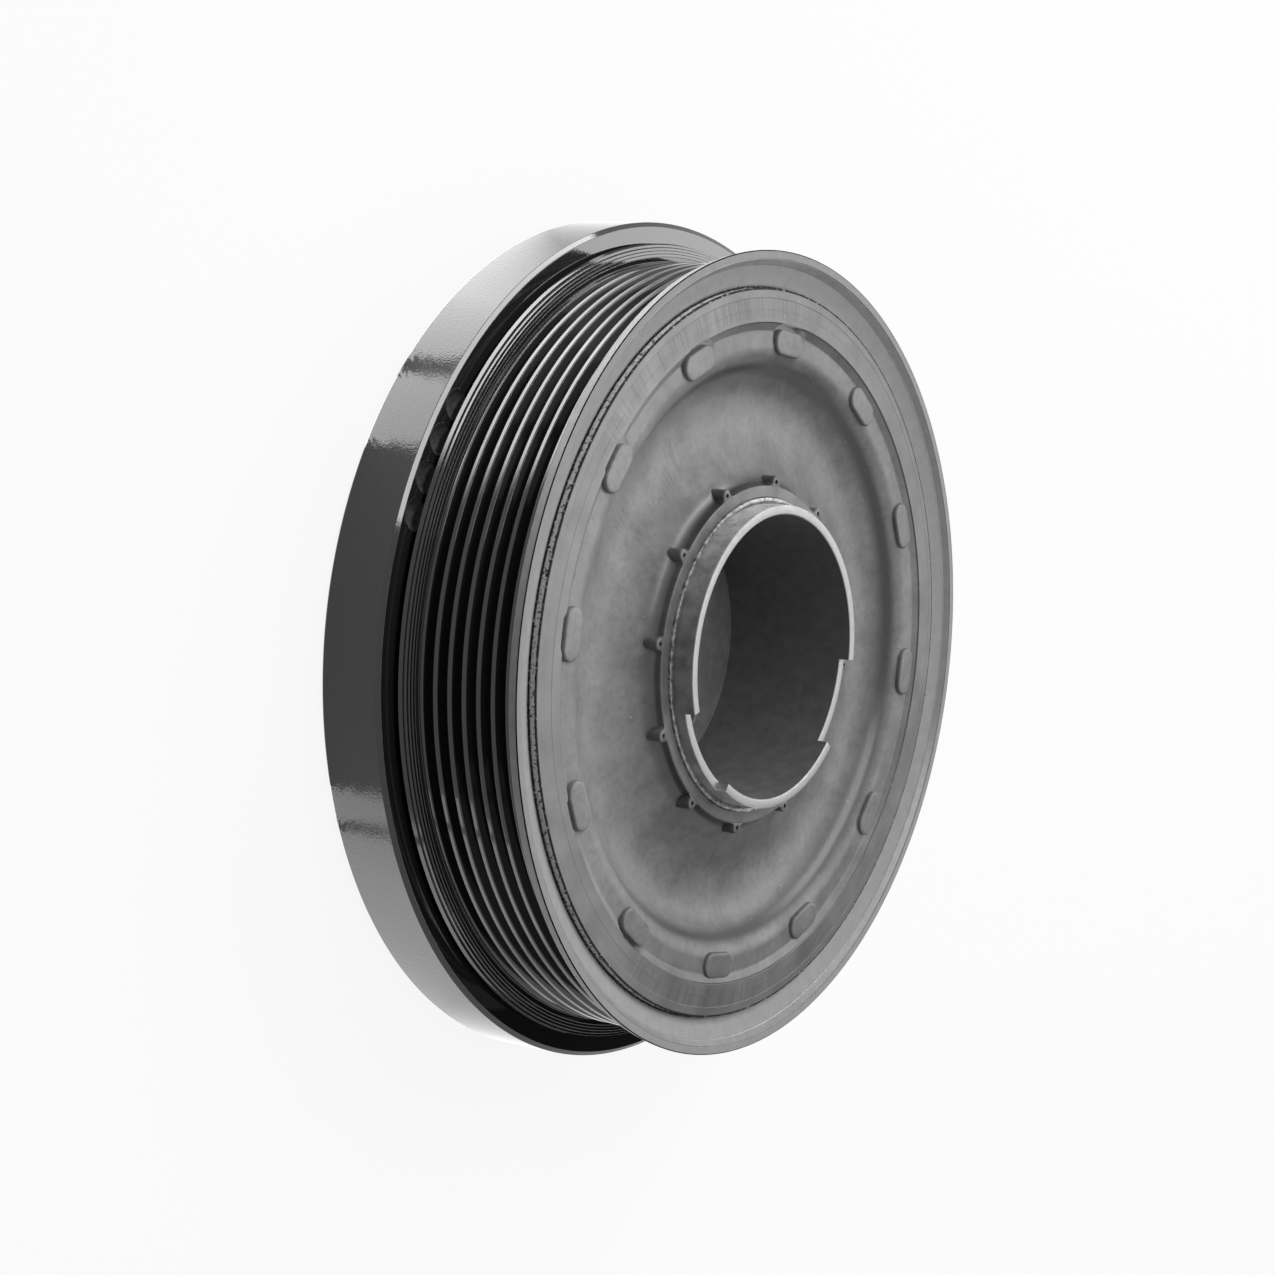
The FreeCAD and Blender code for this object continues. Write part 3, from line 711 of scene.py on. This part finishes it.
stained = calculated(nodes, links, "MULTIPLY", bowl_side, window(nodes, links, azimuth, 2.05, 2.65, 0.3))
colour = darken(nodes, links, colour, calculated(nodes, links, "MULTIPLY", stained, blotches), stain, 0.40)
colour = darken(nodes, links, colour, window(nodes, links, radius, 0.0370, 0.0700, 0.0020), mottles, 0.84)
# Painted shade: patchy darkening round the foot of the collar, beside the sleeve.
colour = darken(nodes, links, colour, window(nodes, links, radius, 0.0370, 0.0400, 0.0090), blotches, 0.72)
colour = mixed(nodes, links, specks, colour, (0.50, 0.50, 0.49))
links.new(colour, shader.inputs["Base Color"])
links.new(ramp(nodes, links, steep, 0.0, 1.0, 0.45, 0.60), shader.inputs["Specular IOR Level"])
worn_gloss = mottled(nodes, links, 160, 5, 0.3, 0.75, 0.36, 0.48)
links.new(mixed(nodes, links, steep, worn_gloss, (0.30,) * 3), shader.inputs["Roughness"])
coarse = bump(nodes, links, noise(nodes, links, 420, 4), 0.00004, 0.5)
links.new(bump(nodes, links, noise(nodes, links, 4200, 3), 0.00001, 0.7, coarse), shader.inputs["Normal"])
for piece in (rubber, pads, lugs):
    piece.data.materials.append(material)


# Torn skin. The outer wall of the rubber once ran on over the flared sheet; the flash has torn
# off along a ragged line, which left a rough wall. Its colour is painted shadow in the pits and
# painted glints on the crumbs, and painted shade blacks the lip above it and the foot below it.
def wobble(angles, seed, waves, low, high):
    """Sum of cosines with whole numbers of turns from low to high, so that it closes on itself."""
    source = np.random.default_rng(seed)
    turns = source.integers(low, high, waves)
    phase = source.uniform(0, 2 * np.pi, waves)
    return np.cos(angles[:, None] * turns + phase).sum(1) / np.sqrt(waves)


skin_columns = 3000
skin_angles = np.arange(skin_columns) * 2 * np.pi / skin_columns


def torn_strip(name, rows, rough, seed):
    """Closed ragged ring from a row of points (r, z) in mm. Each point that has a share of 1 moves
    by the rough amount in r and half of it in z, as a sum of many short waves."""
    rows = np.array(rows)
    seeds = seed + np.arange(len(rows))
    wave_r = np.stack([wobble(skin_angles, int(number), 60, 80, 1100) for number in seeds], -1)
    wave_z = np.stack([wobble(skin_angles, int(number), 60, 80, 1100) for number in seeds + 50], -1)
    r = rows[:, 0] + rough * wave_r * rows[:, 2]
    z = rows[:, 1] + 0.5 * rough * wave_z * rows[:, 2]
    cos, sin = np.cos(skin_angles)[:, None], np.sin(skin_angles)[:, None]
    points = np.stack([r * cos, r * sin, z], -1) / 1000
    strip = mesh_object(name, points.reshape(-1, 3), grid_faces(skin_columns, len(rows)), sharp=60)
    return strip


torn_wall = torn_strip("torn_rubber_wall", [
    (77.75, 41.2, 0), (78.02, 41.3, 0), (78.04, 41.9, 1), (78.02, 42.5, 1), (78.0, 42.9, 0),
    (77.75, 42.9, 0)], 0.05, 20)
torn_lip = torn_strip("torn_rubber_lip", [
    (77.7, 42.85, 0), (78.1, 42.9, 1), (78.14, 43.05, 1), (78.0, 43.2, 1), (77.8, 43.235, 0.3),
    (77.7, 43.2, 0)], 0.07, 140)
torn_foot = torn_strip("torn_rubber_foot", [
    (77.9, 41.15, 0), (78.35, 41.45, 1), (78.4, 41.62, 1), (78.25, 41.72, 1), (78.0, 41.7, 0.5)], 0.13, 260)
# Painted shadow and glints: black patches in the pits of the torn wall, pale flecks on its crumbs.
torn_wall.data.materials.append(coated("torn_wall_painted_shadow_and_glints", (1500, 2, 0.36, 0.44, 0.03, 0.80), 0.5))
# Painted shade: near-black lines along the lip over the torn wall and along its foot.
torn_lines_painted_shade = coated("torn_lines_painted_shade", (1300, 2, 0.62, 0.70, 0.006, 0.35), 0.6, specular=0.2)
torn_lip.data.materials.append(torn_lines_painted_shade)
torn_foot.data.materials.append(torn_lines_painted_shade)


# Inner ring of the coupling. Sheet ring pressed on the sleeve; its cut edge is bare and
# stands a little above the rubber collar.
inner_sheet = lathe("coupling_inner_sheet", [
    (32.5, 27.0, 0.1), (33.8, 27.0, 0.3), (33.8, 44.36, 0.15), (33.1, 44.36, 0.15), (32.5, 43.7, 0.1)], 480)
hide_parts("coupling_inner_ring")
inner_sheet.data.materials.append(coated(
    "bare_cut_steel", (900, 5, 0.36, 0.62, 0.12, (0.50, 0.50, 0.495)), (900, 4, 0.3, 0.7, 0.28, 0.48),
    (2200, 4, 0.00002, 0.7), metallic=0.4))


# Hub. Formed steel hub in dull black: web and damper seat at the rear, and a sleeve whose front
# edge has two long notches and is bare; the outside of the sleeve is scuffed and turns pale grey
# towards +Y, partly rubbed bare and partly painted light from that side.
hub_corners = [
    (27.5, 9.0, 0.1), (56.0, 9.0, 1.2), (59.0, 6.0, 1.2), (59.0, 1.5, 0.4), (66.0, 1.5, 0.4),
    (66.0, 13.5, 0.4), (63.0, 15.0, 1.0), (35.5, 15.0, 1.2), (32.5, 18.0, 1.2), (32.5, 48.9, 0.3),
    (30.5, 48.9, 0.3), (30.5, 17.0, 0.5), (27.5, 17.0, 0.1)]
notches = np.array([(-158.7, -120.1), (-38.3, -1.5)])
notch_depth, notch_wall = 0.0024, 0.16
outline, direction = rounded(hub_corners, 5)
wall_sides = notches.reshape(-1, 1) + np.array([-notch_wall / 2, notch_wall / 2])
hub_degrees = np.sort(np.concatenate([np.arange(-180, 180, 0.75), wall_sides.ravel()]))
points, normals = turned_profile(outline, direction, np.radians(hub_degrees))
low_column = ((hub_degrees[:, None] > notches[:, 0]) & (hub_degrees[:, None] < notches[:, 1])).any(1)
lower = low_column[:, None] & (outline[None, :, 1] > 0.045)
points[..., 2] -= np.where(lower, notch_depth, 0)
hub = mesh_object("hub_shell", points.reshape(-1, 3), grid_faces(len(hub_degrees), len(outline)), sharp=45)
front_edge = outline[None, :, 1] > 0.04865
point_value(hub, "bare", np.broadcast_to(front_edge, points.shape[:2]))
# Painted light: the outside of the sleeve turns pale towards +Y, partly rubbed bare and partly light from
# that side.
rubbed_and_lit = np.clip((165 - np.abs(hub_degrees)) / 75, 0, 1)[:, None]
point_value(hub, "rubbed_and_lit", np.broadcast_to(rubbed_and_lit, points.shape[:2]))
hub_r, hub_z = face_centres(hub)
on_floor = (hub_r < 0.0301) & (hub_z > 0.0168) & (hub_z < 0.01705)
finish_faces(hub, np.where(on_floor, 2, (hub_r > 0.03235) & (hub_z > 0.030)))
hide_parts("hub")

material, nodes, links, shader = node_material("hub_dull_black")
patch = calculated(nodes, links, "MULTIPLY_ADD", noise(nodes, links, 1200, 4), 0.5, -0.25)
frayed = calculated(nodes, links, "ADD", stored(nodes, "bare"), patch)
worn = ramp(nodes, links, frayed, 0.45, 0.60, 0.0, 1.0)
coat = mottled(nodes, links, 330, 6, 0.38, 0.66, 0.115, (0.150, 0.150, 0.148))
links.new(mixed(nodes, links, worn, coat, (0.29, 0.29, 0.287)), shader.inputs["Base Color"])
links.new(worn, shader.inputs["Metallic"])
links.new(mottled(nodes, links, 500, 5, 0.3, 0.7, 0.44, 0.56), shader.inputs["Roughness"])
links.new(bump(nodes, links, noise(nodes, links, 1900, 4), 0.00003, 0.6), shader.inputs["Normal"])
hub.data.materials.append(material)

material, nodes, links, shader = node_material("worn_and_lit_sleeve")
share = stored(nodes, "rubbed_and_lit")
cloud = noise(nodes, links, 260, 5)
coat = ramp(nodes, links, cloud, 0.34, 0.62, 0.17, 0.31)
rubbed_and_lit_grey = ramp(nodes, links, cloud, 0.34, 0.62, 0.52, 0.80)
scuffs = ramp(nodes, links, noise(nodes, links, 1000, 4, (1, 1, 0.6)), 0.60, 0.66, 0.0, 1.0)
colour = darken(nodes, links, mixed(nodes, links, share, coat, rubbed_and_lit_grey), share, scuffs, 0.30)
links.new(colour, shader.inputs["Base Color"])
shader.inputs["Roughness"].default_value = 0.4
links.new(bump(nodes, links, noise(nodes, links, 1900, 4), 0.00003, 0.6), shader.inputs["Normal"])
hub.data.materials.append(material)

# Painted light: a paler copy of the hub's dull black for the floor seen down inside the sleeve.
floor_black_lit_copy = coated("floor_dull_black_lit_copy", (330, 6, 0.38, 0.66, 0.17, 0.22), 0.55, (1900, 4, 0.00003, 0.6))
hub.data.materials.append(floor_black_lit_copy)


# Bolt floor of the hub. Flat disc with a pilot bore for the end of the crankshaft and four
# bolt holes; each quarter is worked out round its own hole.
pilot_r, floor_r, bolt_r, bolt_circle_r, bolt_edge = 9.0, 27.5, 5.5, 20.0, 0.4
hole = np.array([bolt_circle_r, bolt_circle_r]) / np.sqrt(2)
corners = np.array([(0, pilot_r), (0, floor_r), (pilot_r, 0), (floor_r, 0)]) - hole
theta = np.unique(np.round(np.concatenate([
    np.linspace(-np.pi, np.pi, 97)[:-1], np.arctan2(corners[:, 1], corners[:, 0])]), 9))


def quarter_edge(theta):
    """Distance from the bolt hole to the edge of its quarter in the direction theta: the nearest of
    the two straight sides, the outer circle and the pilot circle, each solved for the ray."""
    d = np.stack([np.cos(theta), np.sin(theta)], -1)
    far = np.full(len(theta), 1e9)
    side_x = np.where(d[:, 0] < -1e-9, -hole[0] / np.minimum(d[:, 0], -1e-9), far)
    side_y = np.where(d[:, 1] < -1e-9, -hole[1] / np.minimum(d[:, 1], -1e-9), far)
    b = d @ hole
    outer = -b + np.sqrt(b ** 2 - (hole @ hole - floor_r ** 2))
    inside = b ** 2 - (hole @ hole - pilot_r ** 2)
    pilot = np.where((inside > 0) & (b < 0), -b - np.sqrt(np.maximum(inside, 0)), far)
    return np.minimum(np.minimum(side_x, side_y), np.minimum(outer, pilot))


eased_r = bolt_r + bolt_edge
shares = np.array([1.0, 0.45, 0.0, 0.0, 0.0, 0.0, 0.45, 1.0])
radii = np.array([0.0, 0.0, eased_r, bolt_r, bolt_r, eased_r, 0.0, 0.0])
levels = np.array([9.0, 9.0, 9.0, 9.4, 16.6, 17.0, 17.0, 17.0])
to_edge = quarter_edge(theta)[:, None] - eased_r
reach = np.where(shares > 0, eased_r + to_edge * shares, radii[None, :])
quarter = np.stack([
    hole[0] + reach * np.cos(theta)[:, None], hole[1] + reach * np.sin(theta)[:, None],
    levels[None, :] + 0 * reach], -1) / 1000
count, rows = reach.shape
i = np.arange(count)
next_i = (i + 1) % count
walls = np.stack([i * rows + rows - 1, next_i * rows + rows - 1, next_i * rows, i * rows], -1)
on_side = quarter[:, 0, :2] < 1e-6
between_quarters = (on_side & np.roll(on_side, -1, 0)).any(1)
faces = np.concatenate([grid_faces(count, rows, False), walls[~between_quarters]])
quarters = spread(quarter, np.radians([0, 90, 180, 270]))
floor = mesh_object("hub_bolt_floor", quarters.reshape(-1, 3), repeated(faces, 4, count * rows), sharp=35)
floor.data.materials.append(floor_black_lit_copy)
